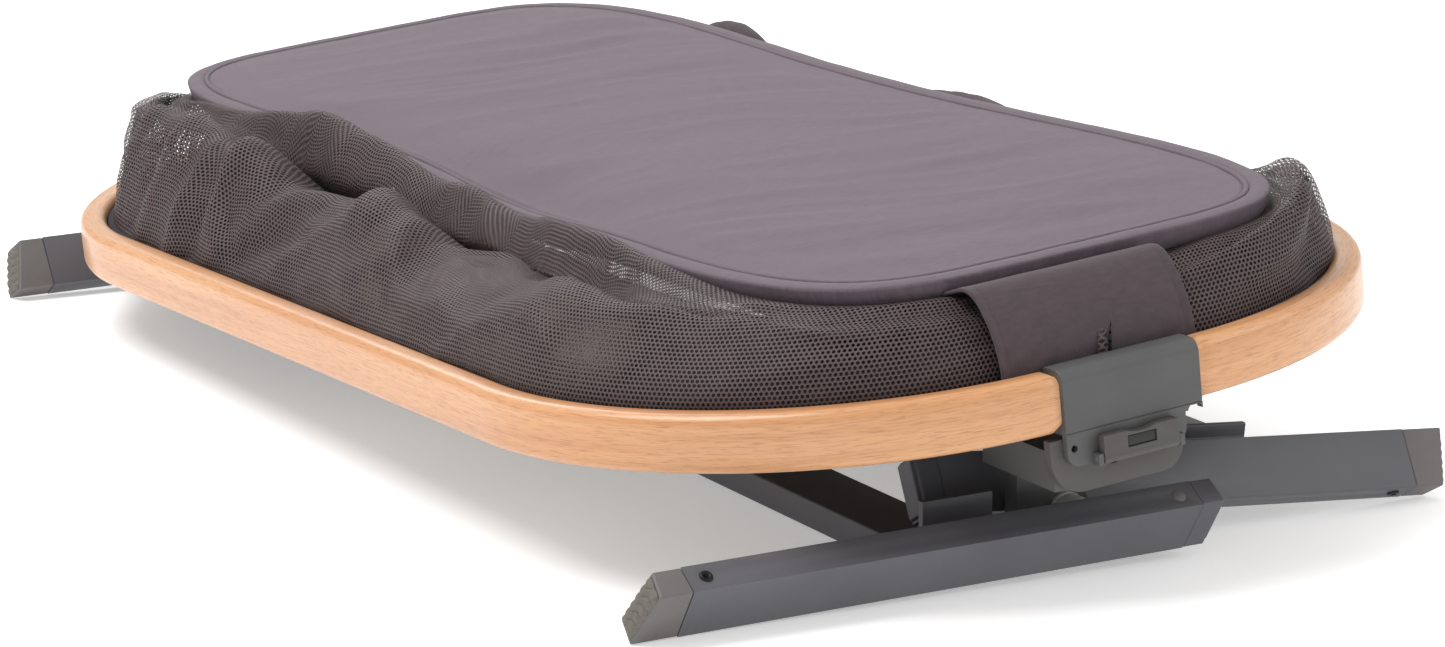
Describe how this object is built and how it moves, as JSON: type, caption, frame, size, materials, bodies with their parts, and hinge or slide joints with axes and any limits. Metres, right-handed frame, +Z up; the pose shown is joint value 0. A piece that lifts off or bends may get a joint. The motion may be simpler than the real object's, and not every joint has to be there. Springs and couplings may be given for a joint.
{
  "type": "bouncer seat",
  "caption": "Folded baby bouncer: a bent wood ring holds a mesh-sided cradle with a padded top, on scissor leg frames folded flat under it.",
  "frame": {"origin": "middle of the outer box, on the plane that the feet stand on", "axes": "+Z up, +Y along the long axis towards the far end bracket, +X towards the right leg frame's feet"},
  "size_m": [0.4445, 0.8031, 0.1578],
  "materials": {
    "wood": "satin varnish",
    "bracket_plastic": "fine moulded texture",
    "cap_plastic": "fine moulded texture",
    "black_plastic": "matt",
    "foot_rubber": "matt, ribbed",
    "leg_paint": "satin powder coat",
    "mesh_fabric": "spacer mesh",
    "pad_fabric": "fine plain weave",
    "band_fabric": "plain weave",
    "board_wood": "raw board",
    "white_plastic": "plain",
    "bright_steel": "zinc plated",
    "black_steel": "black oxide"
  },
  "bodies": {
    "stand_head": {"axle": "bright_steel", "axle_washers": "white_plastic", "front_hub_plate": "cap_plastic", "rear_hub_plate": "cap_plastic", "front_housing": "bracket_plastic", "rear_housing": "bracket_plastic"},
    "seat_frame": {"wood_ring": "wood", "front_bracket": "bracket_plastic", "rear_bracket": "bracket_plastic", "bracket_screws": "bright_steel", "swing_pins": "bright_steel", "seat_hem": "mesh_fabric", "seat_mesh": "mesh_fabric", "seat_board": "board_wood", "seat_pad": "pad_fabric", "front_band": "band_fabric", "rear_band": "band_fabric", "side_straps": "mesh_fabric", "front_latch_pin": "bright_steel", "rear_latch_pin": "bright_steel"},
    "front_latch_lever": {"front_latch": "cap_plastic", "front_latch_insert": "black_plastic"},
    "rear_latch_lever": {"rear_latch": "cap_plastic", "rear_latch_insert": "black_plastic"},
    "left_legs": {"left_front_tube": "leg_paint", "left_rear_tube": "leg_paint", "left_front_foot_cap": "cap_plastic", "left_rear_foot_cap": "cap_plastic", "left_front_foot_pad": "foot_rubber", "left_rear_foot_pad": "foot_rubber", "left_front_end_plug": "cap_plastic", "left_rear_end_plug": "cap_plastic", "left_bushes": "white_plastic", "left_crossbeam": "leg_paint", "left_beam_brackets": "leg_paint", "left_leg_screws": "black_steel"},
    "right_legs": {"right_front_tube": "leg_paint", "right_rear_tube": "leg_paint", "right_front_foot_cap": "cap_plastic", "right_rear_foot_cap": "cap_plastic", "right_front_foot_pad": "foot_rubber", "right_rear_foot_pad": "foot_rubber", "right_front_end_plug": "cap_plastic", "right_rear_end_plug": "cap_plastic", "right_bushes": "white_plastic", "right_crossbeam": "leg_paint", "right_beam_brackets": "leg_paint", "right_leg_screws": "black_steel"}
  },
  "joints": [
    {"name": "left_legs_fold", "type": "hinge", "parent": "stand_head", "child": "left_legs", "pos_m": [-0.0007, 0, 0.026], "axis": [0, -1, 0], "range_deg": [0, 54]},
    {"name": "right_legs_fold", "type": "hinge", "parent": "stand_head", "child": "right_legs", "pos_m": [-0.0007, 0, 0.026], "axis": [0, 1, 0], "range_deg": [0, 50.8]},
    {"name": "seat_swing", "type": "hinge", "parent": "stand_head", "child": "seat_frame", "pos_m": [-0.00501, -0.00008, 0.05207], "axis": [0, 0.9992, -0.0401], "range_deg": [0, 8]},
    {"name": "front_latch_turn", "type": "hinge", "parent": "seat_frame", "child": "front_latch_lever", "pos_m": [-0.00489, -0.3991, 0.0669], "axis": [0.9951, 0.004, 0.0992], "range_deg": [0, 25], "stiffness_Nm_per_rad": 0.15, "springref_deg": -5.73},
    {"name": "rear_latch_turn", "type": "hinge", "parent": "seat_frame", "child": "rear_latch_lever", "pos_m": [-0.00489, 0.39885, 0.03485], "axis": [-0.9951, -0.004, -0.0992], "range_deg": [0, 25], "stiffness_Nm_per_rad": 0.15, "springref_deg": -5.73}
  ],
  "couplings": [
    {"joint": "right_legs_fold", "follows": "left_legs_fold", "ratio": 0.94}
  ]
}
